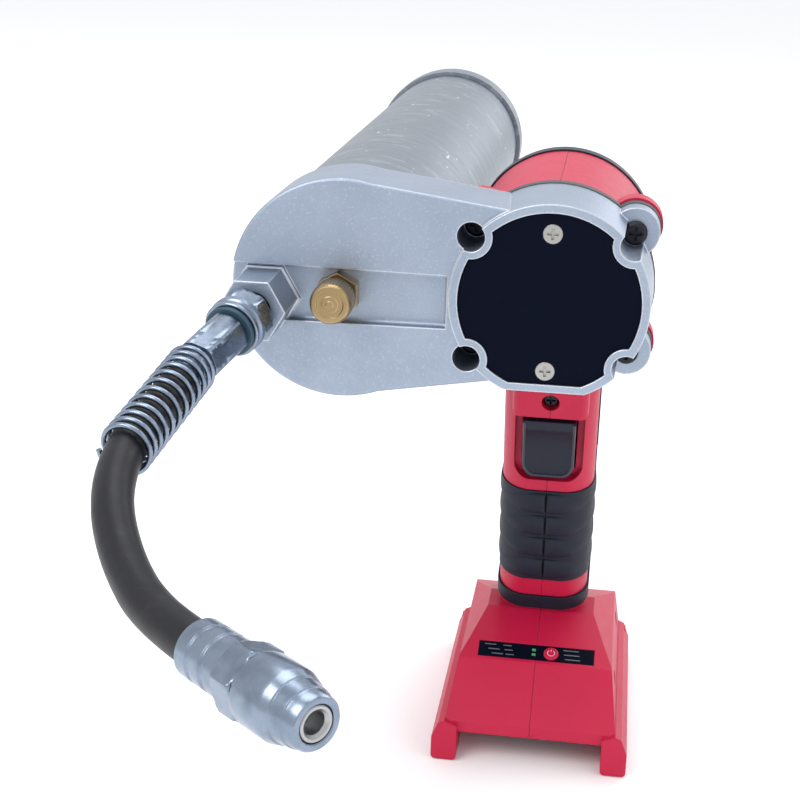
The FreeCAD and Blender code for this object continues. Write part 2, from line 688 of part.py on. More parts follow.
housing = housing.cut(vents)
screw_bores = []
for place in HOUSING_SCREWS:
    screw_bores += [rod(1.5, (-14, place.y, place.z), (40, place.y, place.z)),
                    rod(3.1, (11, place.y, place.z), (45, place.y, place.z))]
housing = housing.cut(screw_bores)
huge = 400
left_side = block((-huge, -huge, -huge), (-0.05, huge, huge))
right_side = block((0.05, -huge, -huge), (huge, huge, huge))
shaped("housing_left", single(housing.common(left_side)))
shaped("housing_right", single(housing.common(right_side)))
shaped("housing_screws", Part.makeCompound([
    pan_screw((11, p.y, p.z), (-1, 0, 0), 2.8, 2.2, 1.45, 22) for p in HOUSING_SCREWS]))
shaped("front_screw", pan_screw(on_handle(0, -depth / 2 + 0.5, FRONT_SCREW), BACK, 2.8, 2.0, 1.55, 8))

# ---------------------------------------------------------------- rubber and small trim
grip = handle_bar(width + 0.8, depth + 0.8, GRIP_TOP + 0.1, GRIP_END - 0.1, 11.4).cut(
    handle_bar(width - 2.5, depth - 2.5, GRIP_TOP - 1, GRIP_END + 1, 9.75))
notches = []
for side in (-1, 1):
    for i in range(3):
        down = 96 + 12.2 * i
        notches.append(handle_block((side * (width / 2 - 3), -4, down),
                                    (side * (width / 2 + 3), 6, down + 6)))
grip = grip.cut(notches)
shaped("grip_left", single(grip.common(left_side)))
shaped("grip_right", single(grip.common(right_side)))
ring = handle_bar(width + 1.6, depth + 1.6, RING_TOP + 0.1, RING_END - 0.1, 11.8).cut(
    handle_bar(width - 1.9, depth - 1.9, RING_TOP - 1, RING_END + 1, 10.05))
shaped("neck_ring", single(ring))
strips = [handle_block((side * (width / 2 - 1.1), -3.9, 40.1),
                       (side * (width / 2 + 0.5), 14.9, 79.9)) for side in (-1, 1)]
shaped("side_strips", Part.makeCompound(strips))
plate = panel_block((-21.7, -3.5, -0.8), (21.7, 3.5, 0.1))
lamps = [panel_block((-1.6, low, -0.4), (-0.2, low + 1.1, 0.25)) for low in (0.5, -1.7)]
label = plate.cut([Part.makeCylinder(3.05, 4, on_panel(*button_spot, -2), panel_out)]
                  + [lamp.copy() for lamp in lamps])
shaped("label_panel", single(label))
shaped("status_lights", Part.makeCompound(lamps))
cap_shape = Part.makeCylinder(2.85, 5.2, on_panel(*button_spot, -4.4), panel_out)
rim = [e for e in cap_shape.Edges if (e.CenterOfMass - on_panel(*button_spot, 0.8)).Length < 0.1]
cap_shape = cap_shape.makeFillet(0.5, rim)
flange_cap = Part.makeCylinder(3.6, 0.8, on_panel(*button_spot, -4.4), panel_out)
shaped("power_button", single(cap_shape.fuse(flange_cap)))
shaped("control_board", panel_block((-20, -6.5, -7.4), (20, 6.5, -5.8)))

# ---------------------------------------------------------------- trigger and switch
travel = size("trigger_travel")


def trigger():
    """A finger-shaped trigger with a stem that runs into the switch."""
    front = -depth / 2 - 3.6
    face = handle_block((-9.4, front, TRIGGER_TOP), (9.4, front + 9, TRIGGER_END))
    corners = [e for e in face.Edges if abs(e.tangentAt(e.FirstParameter).dot(BACK)) > 0.999
               and (e.CenterOfMass - on_handle(0, front + 4, TRIGGER_END)).Length < 12]
    face = face.makeFillet(4.5, corners)
    hollow = on_handle(0, front - 22.6, (TRIGGER_TOP + TRIGGER_END) / 2 + 2)
    finger = Part.makeCylinder(25, 40, hollow - Vector(20, 0, 0), Vector(1, 0, 0))
    stem = handle_block((-5, front + 8, 62), (5, front + 14.5, 72))
    return single(face.cut(finger).fuse(stem))


shaped("trigger", trigger())
switch_front = -depth / 2 + 10.9 + travel + 0.4
spring_down, pocket_end = 67, 4.5
pocket = rod(3.9, on_handle(0, switch_front - 1, spring_down),
             on_handle(0, pocket_end, spring_down))
post = rod(3.7, (-20, HOUSING_SCREWS[0].y, HOUSING_SCREWS[0].z),
           (20, HOUSING_SCREWS[0].y, HOUSING_SCREWS[0].z))
switch = handle_block((-8, switch_front, 56), (8, 13.5, 80)).cut([pocket, post])
shaped("switch_body", single(switch))


def coil(radius, wire, turns, length, start, direction):
    """A coil spring: a round wire swept along a helix."""
    helix = Part.makeHelix(length / turns, length, radius)
    profile = Part.Wire(Part.Circle(Vector(radius, 0, 0), Vector(0, 1, 0), wire).toShape())
    spring = Part.Wire(helix).makePipeShell([profile], True, True)
    spring.Placement = FreeCAD.Placement(Vector(*start), aim(tuple(direction)))
    return spring.Solids[0] if spring.Solids else Part.Solid(spring)


stem_end = -depth / 2 + 10.9
spring_place = on_handle(0, stem_end + 0.45, spring_down)
shaped("trigger_spring", coil(3, 0.35, 9, pocket_end - stem_end - 0.9, spring_place, BACK))

# ---------------------------------------------------------------- battery terminals
shaped("terminal_block", single(block((-15.8, 66, ceiling - 6.5), (15.8, 92, ceiling + 2)).cut(
    [block((x - 1.4, 60, ceiling - 9), (x + 1.4, 86, ceiling - 1)) for x in (-11, -4, 4, 11)])))
shaped("terminal_blades", Part.makeCompound([
    block((x - 0.4, 68, ceiling - 5.8), (x + 0.4, 86, ceiling - 1) ) for x in (-11, -4, 4, 11)]))

# ---------------------------------------------------------------- rear cap with vents
cap_end, cap_start = size("rear_cap_end"), size("shroud_end") + 0.1
rear = rod(size("shroud_radius") + 0.6, (0, cap_start, 0), (0, cap_end, 0))
rear = rear.makeFillet(3, [e for e in rear.Edges if abs(e.CenterOfMass.y - cap_end) < 0.1
                           and e.Length > 100])
rear = rear.cut([rod(size("shroud_radius") - 2.5, (0, 80, 0), (0, cap_end - 3, 0)),
                 handle_post(-0.15)])
slots = []
for i in range(5):
    z = -16 + 8 * i
    reach = math.sqrt(24 ** 2 - z ** 2)
    slots.append(block((-reach, cap_end - 5, z - 1.4), (reach, cap_end + 1, z + 1.4)))
shaped("rear_cap", single(rear.cut(slots + [barrel_room])))

# ---------------------------------------------------------------- barrel and follower
BARREL = ("barrel_x", "0", "0")
turned("barrel_tube", tube_of("barrel_radius - barrel_wall", "barrel_radius",
                              "barrel_start + 1.8", "barrel_end"), BARREL)
turned("barrel_cap", [(f"rod_radius + {gap}", "barrel_end + 2.2"),
                      ("barrel_radius + 0.02", "barrel_end + 2.2"),
                      ("barrel_radius + 0.02", "barrel_end - 9"), ("cap_radius", "barrel_end - 9"),
                      ("cap_radius", "cap_end - 1"), ("cap_radius - 1", "cap_end"),
                      (f"rod_radius + {gap}", "cap_end")], BARREL)
turned("barrel_gasket", tube_of("barrel_radius - 4", "barrel_radius - 0.2",
                                "barrel_start + 0.1", "barrel_start + 1.7"), BARREL)
piston_place = 40
turned("follower_piston", [("rod_radius", "0"), ("barrel_radius - barrel_wall - 2.5", "0"),
                           ("barrel_radius - barrel_wall - 0.4", "-3"),
                           ("barrel_radius - barrel_wall - 0.4", "9"),
                           ("barrel_radius - barrel_wall - 3", "9"),
                           ("barrel_radius - barrel_wall - 3", "2"), ("8", "2"), ("8", "8"),
                           ("rod_radius", "8")],
       ("barrel_x", str(piston_place), "0"))
turned("follower_rod", [("0", "0"), ("rod_radius", "0"), ("rod_radius", "280"), ("0", "280")],
       ("barrel_x", str(piston_place - 2), "0"))
cross_y = piston_place + 272
handle_bar_end = rod(4.2, (barrel_x - 24, cross_y, 0), (barrel_x + 24, cross_y, 0))
handle_bar_end = handle_bar_end.makeFillet(2, [
    e for e in handle_bar_end.Edges if e.Curve.TypeId == "Part::GeomCircle"])
hub = rod(6.5, (barrel_x, cross_y - 8, 0), (barrel_x, cross_y + 6, 0))
rod_handle = handle_bar_end.fuse(hub).cut(rod(3.5, (barrel_x, 200, 0), (barrel_x, cross_y + 6, 0)))
shaped("rod_handle", single(rod_handle))
spring_start, spring_end = piston_place + 10, size("barrel_end") - 1
shaped("follower_spring", coil(24, 1.2, 9, spring_end - spring_start,
                               (barrel_x, spring_start, 0), (0, 1, 0)))

# ---------------------------------------------------------------- hose port and fittings
adapter = rod(5.6, along_fitting(-8), along_fitting(3)).fuse([
    hexagon(8.7, along_fitting(1.6), along_fitting(8)),
    rod(8.8, along_fitting(8), along_fitting(10.4)),
    rod(8.0, along_fitting(10.4), along_fitting(11.2)),
    rod(8.6, along_fitting(11.2), along_fitting(13))])
adapter = adapter.cut([rod(2.6, along_fitting(-12), along_fitting(14)),
                       rod(4.5, along_fitting(-5), along_fitting(6))])
shaped("port_adapter", single(adapter))
shaped("port_seal", single(rod(7.7, along_fitting(13), along_fitting(14.6)).cut(
    rod(4.2, along_fitting(12), along_fitting(15)))))
shaped("check_ball", Part.makeSphere(3.4, Vector(*along_fitting(-2.75))))
shaped("check_spring", coil(2.9, 0.35, 2.5, 4.6, along_fitting(1.0), FITTING))
FITTING_END = 34.6
shank = hexagon(7.3, along_fitting(14.6), along_fitting(FITTING_END), False)
shank = shank.common(Part.makeCone(5.6, 8.6, 3.5, Vector(*along_fitting(14.6)), FITTING).fuse(
    rod(7.0, along_fitting(18), along_fitting(FITTING_END + 1))))
shank = shank.cut([rod(2.6, along_fitting(10), along_fitting(40))])
shaped("hose_fitting", single(shank))

GUARD_START = Vector(*along_fitting(FITTING_END + 0.6))
GUARD_END = Vector(-101.3, -95.1, -20.7)
GUARD = (GUARD_END - GUARD_START).normalize()
ferrule_length = 11
HOSE_START = GUARD_START + GUARD * ferrule_length
ferrule = Part.makeCylinder(5.15, ferrule_length - 0.4, GUARD_START, GUARD)
ferrule = ferrule.cut(Part.makeCylinder(2.6, 40, GUARD_START - GUARD * 10, GUARD))
shaped("hose_ferrule", single(ferrule))
guard_length = (GUARD_END - GUARD_START).Length
guard_setback = 1.8
guard = coil(size("guard_radius"), size("guard_wire") / 2, 9, guard_length - guard_setback,
             tuple(GUARD_START + GUARD * guard_setback), GUARD)
shaped("spring_guard", guard)

# The hose's route: its points lie outside the bends, and each bend's arc touches both runs.
ROUTE = [tuple(HOSE_START), (-99.2, -76.1, -16.7), (-101.7, -94.4, -20.3),
         (-99.0, -113.3, -26.5), (-90.6, -130.0, -34.1), (-77.6, -148.5, -38.0),
         (-63.5, -161.1, -37.6)]
BEND_SHARE = 0.45


def hose_path(points):
    """Straight runs joined by arcs that are tangent to both; also the arcs' radii."""
    points = [Vector(*p) for p in points]
    edges, radii = [], []
    last = points[0]
    for before, corner, after in zip(points, points[1:], points[2:]):
        into, out = (corner - before), (after - corner)
        reach = BEND_SHARE * min(into.Length, out.Length)
        into.normalize()
        out.normalize()
        half = into.getAngle(out) / 2
        radii.append(reach / math.tan(half))
        start, end = corner - into * reach, corner + out * reach
        inward = (out - into).normalize()
        middle = corner + inward * (radii[-1] / math.cos(half) - radii[-1])
        edges.append(Part.LineSegment(last, start).toShape())
        edges.append(Part.Arc(start, middle, end).toShape())
        last = end
    edges.append(Part.LineSegment(last, points[-1]).toShape())
    return Part.Wire(edges), radii


path, radii = hose_path(ROUTE)
hose_radius = size("hose_diameter") / 2
start_way = (Vector(*ROUTE[1]) - Vector(*ROUTE[0])).normalize()
circle = Part.Wire(Part.Circle(Vector(*ROUTE[0]), start_way, hose_radius).toShape())
hose = path.makePipeShell([circle], True, False)
hose = Part.Solid(hose.Shells[0]) if not hose.Solids else hose.Solids[0]
print("hose radii in diameters:", [round(r / hose_radius / 2, 2) for r in radii])
print("hose length:", round(path.Length, 1), "volume share:",
      round(hose.Volume / (math.pi * hose_radius ** 2 * path.Length), 4))
shaped("hose", hose)

# ---------------------------------------------------------------- coupler
hose_end = Vector(*ROUTE[-1])
COUPLER = (hose_end - Vector(*ROUTE[-2])).normalize()


def on_coupler(distance):
    return tuple(hose_end + COUPLER * distance)


def stage(radii, stations):
    """A turned outer shape on the coupler's axis: a cone between each two stations."""
    solids = []
    for i in range(len(stations) - 1):
        span = stations[i + 1] - stations[i]
        start = Vector(*on_coupler(stations[i]))
        if abs(radii[i] - radii[i + 1]) < 1e-6:
            solids.append(Part.makeCylinder(radii[i], span, start, COUPLER))
        else:
            solids.append(Part.makeCone(radii[i], radii[i + 1], span, start, COUPLER))
    return solids[0].fuse(solids[1:]) if len(solids) > 1 else solids[0]


crimp = stage([6.3, 6.9, 6.9, 6.5, 6.9, 6.9, 6.5, 6.9, 6.9], [0, 1, 5, 5.8, 6.6, 10, 10.8, 11.6, 16])
shaped("coupler_ferrule", single(crimp.cut(rod(2.4, on_coupler(-1), on_coupler(20)))))
MOUTH = 42
mouth_radius = 2.5
shell = hexagon(8.6, on_coupler(16), on_coupler(23)).fuse([
    stage([8.0, 8.2, 8.2, 5.9], [23, 24, 33, MOUTH])])
shell = shell.cut([rod(2.4, on_coupler(10), on_coupler(25)),
                   rod(5.0, on_coupler(24), on_coupler(36)),
                   rod(4.1, on_coupler(35), on_coupler(50))])
shaped("coupler_body", single(shell))
collet = stage([4.9, 4.9], [30, 35.8]).fuse(stage([4.0, 4.0], [35.8, MOUTH]))
collet = collet.cut([rod(mouth_radius, on_coupler(20), on_coupler(50)),
                     Part.makeCone(mouth_radius, mouth_radius + 0.9, 1.0,
                                   Vector(*on_coupler(MOUTH - 1)), COUPLER)])
shaped("coupler_jaws", single(collet))

# ---------------------------------------------------------------- check and write
doc.recompute()
for thing in doc.Objects:
    if "Invalid" in thing.State or "Error" in thing.State:
        raise RuntimeError(f"{thing.Label} failed: {thing.State}")
for node in NODES:
    if node.Shape.isNull() or not node.Shape.isValid() or not node.Shape.Solids:
        raise RuntimeError(f"{node.Label} has no valid solid")
os.makedirs("parts", exist_ok=True)
for node in NODES:
    node.Shape.exportStep(f"parts/{node.Label}.step")
print(len(NODES), "nodes written")
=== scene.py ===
import json
import math

import bmesh
import bpy
from mathutils import Matrix, Vector


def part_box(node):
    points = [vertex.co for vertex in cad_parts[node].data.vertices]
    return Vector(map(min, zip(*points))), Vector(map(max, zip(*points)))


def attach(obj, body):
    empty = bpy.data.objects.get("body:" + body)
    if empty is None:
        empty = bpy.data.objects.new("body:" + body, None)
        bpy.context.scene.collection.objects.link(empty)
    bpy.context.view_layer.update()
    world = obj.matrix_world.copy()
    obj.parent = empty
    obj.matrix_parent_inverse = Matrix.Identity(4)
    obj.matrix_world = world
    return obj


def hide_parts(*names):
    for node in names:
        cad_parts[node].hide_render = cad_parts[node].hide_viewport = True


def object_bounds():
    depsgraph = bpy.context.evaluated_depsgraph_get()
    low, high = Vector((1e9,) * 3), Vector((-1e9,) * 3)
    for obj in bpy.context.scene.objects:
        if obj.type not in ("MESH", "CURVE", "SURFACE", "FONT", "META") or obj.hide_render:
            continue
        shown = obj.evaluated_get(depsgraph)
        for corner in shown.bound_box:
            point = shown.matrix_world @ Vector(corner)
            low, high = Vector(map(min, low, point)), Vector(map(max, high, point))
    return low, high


# Cordless grease gun around its CAD frame.  Lengths in the tables are millimetres and are turned
# into metres by MM; places come from the frame's nodes and joints.

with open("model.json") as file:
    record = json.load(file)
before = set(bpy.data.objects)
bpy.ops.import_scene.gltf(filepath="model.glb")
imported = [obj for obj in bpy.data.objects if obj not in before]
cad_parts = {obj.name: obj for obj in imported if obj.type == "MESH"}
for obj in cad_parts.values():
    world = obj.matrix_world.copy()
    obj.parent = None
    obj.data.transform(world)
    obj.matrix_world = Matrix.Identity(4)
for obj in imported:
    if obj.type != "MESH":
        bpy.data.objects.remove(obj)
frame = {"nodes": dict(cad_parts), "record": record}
cad_low, cad_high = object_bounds()
MM = 0.001
record = frame["record"]
joints = {joint["name"]: joint for joint in record["behaviour"]["joints"]}


def middle(node):
    low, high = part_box(node)
    return (Vector(low) + Vector(high)) / 2


# ------------------------------------------------------------------ places
GEAR = Vector((middle("motor_can").x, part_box("cover_plate")[0][1], middle("motor_can").z))
ACROSS = Vector((1, 0, 0))
BACK = Vector(joints["trigger_pull"]["axis"]).normalized()
DOWN = Vector((0, BACK.z, -BACK.y))
RING_DOWN = 144.15                       # the neck ring's distance down the handle
PANEL_OUT = -Vector(joints["power_button_press"]["axis"]).normalized()
PANEL_UP = Vector((0, PANEL_OUT.z, -PANEL_OUT.y))
FITTING = Vector(joints["check_ball_lift"]["axis"]).normalized()
PORT = (-87.5, -15, -4)                  # middle of the boss face, from the gear axis


def at(x, y, z):
    """A point given from the middle of the cover plate's face."""
    return GEAR + Vector((x, y, z)) * MM


def on_handle(x, back, down):
    return middle("neck_ring") + (ACROSS * x + BACK * back + DOWN * (down - RING_DOWN)) * MM


def on_panel(x, up, out):
    plate_half = 0.45                    # half the label plate's thickness
    place = ACROSS * x + PANEL_UP * up + PANEL_OUT * (out + plate_half)
    return middle("label_panel") + place * MM


# ------------------------------------------------------------------ camera
def aim_camera():
    """The photograph's viewpoint: yaw to the left, pitch down and a slight roll."""
    yaw, pitch, roll = (math.radians(angle) for angle in (7.9, 18.61, 1.6))
    forward = Vector((-math.sin(yaw) * math.cos(pitch), math.cos(yaw) * math.cos(pitch),
                      -math.sin(pitch)))
    level = Vector((math.cos(yaw), math.sin(yaw), 0))
    upright = level.cross(forward)
    right = level * math.cos(roll) + upright * math.sin(roll)
    up = upright * math.cos(roll) - level * math.sin(roll)
    data = bpy.data.cameras.new("camera")
    data.sensor_width = 36
    data.lens = 68.93
    data.clip_start, data.clip_end = 0.01, 50
    camera = bpy.data.objects.new("camera", data)
    bpy.context.collection.objects.link(camera)
    turn = Matrix((right, up, -forward)).transposed().to_4x4()
    place = (0.0177, -0.5411, 0.3082)
    camera.matrix_world = Matrix.Translation(place) @ turn
    bpy.context.scene.camera = camera


aim_camera()


# ------------------------------------------------------------------ materials
class Surface:
    """A material built up in layers around one principled shader."""

    def __init__(self, name, colour, metallic, roughness):
        self.material = bpy.data.materials.new(name)
        self.material.use_nodes = True
        self.tree = self.material.node_tree
        self.shader = self.tree.nodes["Principled BSDF"]
        self.colour = colour
        self.shader.inputs["Base Color"].default_value = (*colour, 1)
        self.shader.inputs["Metallic"].default_value = metallic
        self.shader.inputs["Roughness"].default_value = roughness
        self.place = self.tree.nodes.new("ShaderNodeTexCoord").outputs["Object"]
        self.normal = None

    def node(self, kind, **values):
        made = self.tree.nodes.new(kind)
        for key, value in values.items():
            if key in made.inputs:
                made.inputs[key].default_value = value
            else:
                setattr(made, key, value)
        return made

    def link(self, start, end):
        self.tree.links.new(start, end)

    def noise(self, scale, stretch=(1, 1, 1), detail=4, rough=0.55):
        """Noise over the surface; scale is in cycles for each metre."""
        mapping = self.node("ShaderNodeMapping")
        mapping.inputs["Scale"].default_value = stretch
        self.link(self.place, mapping.inputs["Vector"])
        texture = self.node("ShaderNodeTexNoise", Scale=scale, Detail=detail, Roughness=rough)
        self.link(mapping.outputs["Vector"], texture.inputs["Vector"])
        return texture.outputs["Fac"]

    def ramp(self, factor, low, high):
        """A factor sharpened between two levels."""
        spread = self.node("ShaderNodeMapRange")
        spread.inputs["From Min"].default_value = low
        spread.inputs["From Max"].default_value = high
        self.link(factor, spread.inputs["Value"])
        return spread.outputs["Result"]

    def mix(self, factor, second, share=1.0):
        """Lays a second colour over what is there, by a factor times a share."""
        amount = self.node("ShaderNodeMath", operation="MULTIPLY")
        amount.inputs[1].default_value = share
        self.link(factor, amount.inputs[0])
        blend = self.node("ShaderNodeMix", data_type="RGBA")
        socket = self.shader.inputs["Base Color"]
        if socket.links:
            self.link(socket.links[0].from_socket, blend.inputs[6])
        else:
            blend.inputs[6].default_value = (*self.colour, 1)
        blend.inputs[7].default_value = (*second, 1)
        self.link(amount.outputs[0], blend.inputs[0])
        self.link(blend.outputs[2], socket)
        return self

    def rough(self, factor, low, high):
        """Roughness that follows a factor."""
        spread = self.node("ShaderNodeMapRange")
        spread.inputs["To Min"].default_value = low
        spread.inputs["To Max"].default_value = high
        self.link(factor, spread.inputs["Value"])
        self.link(spread.outputs["Result"], self.shader.inputs["Roughness"])
        return self

    def edges(self, radius):
        """Light runs round the edges as if they were eased by a radius, in millimetres."""
        eased = self.node("ShaderNodeBevel", samples=6)
        eased.inputs["Radius"].default_value = radius * MM
        self.normal = eased.outputs["Normal"]
        self.link(self.normal, self.shader.inputs["Normal"])
        return self

    def wear_and_highlight_edges(self, radius, second, share):
        """Edges laid over with a second colour: rubbed wear, and a painted highlight where light
        would catch the eased edges.
        """
        eased = self.node("ShaderNodeBevel", samples=6)
        eased.inputs["Radius"].default_value = radius * MM
        true = self.node("ShaderNodeNewGeometry")
        dot = self.node("ShaderNodeVectorMath", operation="DOT_PRODUCT")
        self.link(eased.outputs["Normal"], dot.inputs[0])
        self.link(true.outputs["Normal"], dot.inputs[1])
        self.mix(self.ramp(dot.outputs["Value"], 0.985, 0.90), second, share)
        return self

    def bump(self, height, depth, strength=1.0):
        """Relief from a height; depth in millimetres."""
        relief = self.node("ShaderNodeBump")
        relief.inputs["Strength"].default_value = strength
        relief.inputs["Distance"].default_value = depth * MM
        self.link(height, relief.inputs["Height"])
        if self.normal:
            self.link(self.normal, relief.inputs["Normal"])
        self.normal = relief.outputs["Normal"]
        self.link(self.normal, self.shader.inputs["Normal"])
        return self


def cast_metal():
    s = Surface("cast_aluminium", (0.33, 0.385, 0.475), 0.85, 0.42).edges(0.7)
    s.mix(s.ramp(s.noise(45), 0.35, 0.75), (0.25, 0.30, 0.38), 0.6)
    s.mix(s.ramp(s.noise(1500, detail=2), 0.58, 0.72), (0.50, 0.53, 0.58), 0.45)
    # Pale edges on the casting: a painted highlight along its eased edges, with some rubbed wear.
    s.wear_and_highlight_edges(0.8, (0.80, 0.83, 0.88), 0.8)
    s.rough(s.noise(260), 0.32, 0.52)
    return s.bump(s.noise(1300, detail=3), 0.11, 0.7).bump(s.noise(240), 0.12, 0.35).material


def plate_black():
    s = Surface("cover_black", (0.0005, 0.002, 0.009), 0.0, 0.5).edges(0.3)
    s.mix(s.ramp(s.noise(900, (1, 1, 0.6)), 0.66, 0.74), (0.004, 0.008, 0.02), 0.25)
    s.mix(s.ramp(s.noise(70, (1, 1, 9)), 0.66, 0.74), (0.003, 0.006, 0.016), 0.4)
    s.shader.inputs["Specular IOR Level"].default_value = 0.06
    s.rough(s.noise(120), 0.45, 0.6)
    return s.bump(s.noise(2600, detail=2), 0.02, 0.4).material


def plated(name, colour, low, high, tarnish):
    s = Surface(name, colour, 1.0, low).edges(0.25)
    s.mix(s.ramp(s.noise(160), 0.42, 0.7), tarnish, 0.6)
    s.rough(s.noise(420), low, high)
    return s.bump(s.noise(2100, (1, 4, 1), detail=2), 0.02, 0.4).material


def brass_turned():
    s = Surface("brass", (0.36, 0.265, 0.135), 1.0, 0.3).edges(0.2)
    s.mix(s.ramp(s.noise(190), 0.4, 0.72), (0.40, 0.27, 0.13), 0.6)
    # Paler brass on the knob's edges: rubbed wear and a painted highlight.
    s.wear_and_highlight_edges(0.35, (0.66, 0.50, 0.32), 0.6)
    s.rough(s.noise(500), 0.22, 0.42)
    return s.bump(s.noise(900, (1, 6, 1), detail=2), 0.03, 0.4).material


def moulded(name, colour, shade, low, high, grain=0.035, shine=0.5):
    s = Surface(name, colour, 0.0, low).edges(0.5)
    s.shader.inputs["Specular IOR Level"].default_value = shine
    s.mix(s.ramp(s.noise(38), 0.4, 0.72), shade, 0.35)
    s.rough(s.noise(300), low, high)
    return s.bump(s.noise(2400, detail=2), grain, 0.55).material


def drawn_barrel():
    """Drawn tube: fine lines round it, pale scuffs and a dull bluish cast."""
    s = Surface("barrel_metal", (0.22, 0.25, 0.29), 0.9, 0.4).edges(0.4)
    s.mix(s.ramp(s.noise(9, (1, 26, 1), detail=6), 0.42, 0.66), (0.23, 0.255, 0.295), 0.75)
    scuffs = s.noise(60, (1, 2.6, 1), detail=7, rough=0.75)
    s.mix(s.ramp(scuffs, 0.55, 0.68), (0.50, 0.53, 0.57), 0.6)
    s.mix(s.ramp(s.noise(420, (1, 0.25, 1), detail=3), 0.68, 0.74), (0.86, 0.88, 0.90), 0.6)
    s.rough(s.noise(90, (1, 3, 1)), 0.28, 0.55)
    return s.bump(s.noise(70, (1, 22, 1), detail=3), 0.05, 0.45).material


def hose_cover():
    s = Surface("hose_rubber", (0.006, 0.006, 0.009), 0.0, 0.42)
    s.shader.inputs["Specular IOR Level"].default_value = 0.3
    s.mix(s.ramp(s.noise(260), 0.55, 0.75), (0.018, 0.017, 0.021), 0.6)
    s.rough(s.noise(150), 0.34, 0.55)
    return s.bump(s.noise(1800, detail=3), 0.04, 0.5).bump(s.noise(120), 0.08, 0.3).material


def lamp_window():
    s = Surface("lamp", (0.06, 0.30, 0.12), 0.0, 0.2)
    s.mix(s.ramp(s.noise(900), 0.4, 0.7), (0.10, 0.42, 0.18), 0.5)
    return s.bump(s.noise(2000), 0.01, 0.3).material


MATERIALS = {
    "cast_aluminium": cast_metal(),
    "cover_black": plate_black(),
    "screw_steel": plated("screw_steel", (0.36, 0.355, 0.34), 0.24, 0.42, (0.42, 0.41, 0.40)),
    "black_steel": plated("black_steel", (0.035, 0.035, 0.042), 0.38, 0.55, (0.02, 0.02, 0.025)),
    "plated_steel": plated("plated_steel", (0.24, 0.29, 0.37), 0.18, 0.34, (0.13, 0.165, 0.22)),
    "brass": brass_turned(),
    "housing_pink": moulded("housing_pink", (0.47, 0.005, 0.043), (0.38, 0.004, 0.034), 0.38, 0.5,
                            shine=0.35),
    "rubber_black": moulded("rubber_black", (0.003, 0.006, 0.017), (0.007, 0.011, 0.024), 0.5, 0.66,
                            0.06, 0.34),
    "gasket_grey": moulded("gasket_grey", (0.06, 0.065, 0.07), (0.10, 0.105, 0.11), 0.55, 0.75),
    "barrel_metal": drawn_barrel(),
    "hose_rubber": hose_cover(),
    "gear_steel": plated("gear_steel", (0.42, 0.42, 0.43), 0.28, 0.42, (0.32, 0.32, 0.33)),
    "motor_steel": plated("motor_steel", (0.33, 0.34, 0.36), 0.34, 0.5, (0.25, 0.26, 0.28)),
    "spring_steel": plated("spring_steel", (0.48, 0.48, 0.5), 0.24, 0.38, (0.36, 0.36, 0.38)),
    "seal_blue": moulded("seal_blue", (0.02, 0.055, 0.085), (0.012, 0.04, 0.06), 0.4, 0.55),
    "seal_cream": moulded("seal_cream", (0.68, 0.68, 0.56), (0.58, 0.58, 0.46), 0.45, 0.6),
    "board_green": moulded("board_green", (0.03, 0.15, 0.06), (0.02, 0.10, 0.04), 0.4, 0.55),
    "lamp": lamp_window(),
    "nylon_black": moulded("nylon_black", (0.007, 0.010, 0.022), (0.013, 0.017, 0.032), 0.36, 0.5,
                           shine=0.3),
    "copper": plated("copper", (0.70, 0.40, 0.24), 0.28, 0.42, (0.52, 0.28, 0.17)),
}
MARKS = moulded("label_marks", (0.16, 0.17, 0.19), (0.11, 0.12, 0.14), 0.4, 0.5)
SYMBOL = moulded("symbol_pale", (0.62, 0.40, 0.48), (0.52, 0.32, 0.40), 0.4, 0.5)
# A lighter copy of the trigger's black nylon for its raised edge: a painted highlight where light
# catches the edge.
RIM_HIGHLIGHT = moulded("trigger_rim_highlight", (0.022, 0.027, 0.040), (0.03, 0.036, 0.05), 0.3, 0.42)

for part in record["subparts"]:
    node = frame["nodes"][part["node"]]
    finish = MATERIALS[part["material_slot"]]
    if not node.material_slots:
        node.data.materials.append(None)
    for slot in node.material_slots:
        slot.link = "OBJECT"
        slot.material = finish


# ------------------------------------------------------------------ mesh helpers
def keep(name, mesh, slot, body="tool", stands_for=(), material=None):
    """Links a new piece, gives it its finish and its body, and hides the nodes it stands for."""
    made = bpy.data.objects.new(name, mesh)
    bpy.context.collection.objects.link(made)
    mesh.materials.append(material or MATERIALS[slot])
    if stands_for:
        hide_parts(*stands_for)
    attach(made, body)
    return made


def turned(name, profile, start, toward, slot, form=None, steps=96, closed=False, **extra):
    """A turned piece. profile is (radius, distance) along the axis; form may change the radius
    round the axis, as form(angle, radius)."""
    turn = Vector((0, 0, 1)).rotation_difference(toward.normalized())
    bm = bmesh.new()
    rings = []
    for radius, along in profile:
        count = 1 if radius == 0 else steps
        ring = []
        for i in range(count):
            angle = 2 * math.pi * i / steps
            reach = form(angle, radius) if form and radius else radius
            local = Vector((reach * math.cos(angle), reach * math.sin(angle), along)) * MM
            ring.append(bm.verts.new(start + turn @ local))
        rings.append(ring)
    pairs = list(zip(rings, rings[1:]))
    if closed:
        pairs.append((rings[-1], rings[0]))
    for one, two in pairs:
        for i in range(steps):
            j = (i + 1) % steps
            corners = [one[i % len(one)], one[j % len(one)], two[j % len(two)], two[i % len(two)]]
            corners = list(dict.fromkeys(corners))
            if len(corners) > 2:
                bm.faces.new(corners)
    bmesh.ops.recalc_face_normals(bm, faces=bm.faces)
    mesh = bpy.data.meshes.new(name)
    bm.to_mesh(mesh)
    bm.free()
    mesh.polygons.foreach_set("use_smooth", [True] * len(mesh.polygons))
    mesh.set_sharp_from_angle(angle=math.radians(32))
    return keep(name, mesh, slot, **extra)


def hexagon(corner):
    """A form that flattens a turned piece to a hexagon with this corner radius."""
    flat = corner * math.cos(math.pi / 6)

    def form(angle, radius):
        off = (angle + math.pi / 6) % (math.pi / 3) - math.pi / 6
        return min(radius, flat / math.cos(off))
    return form


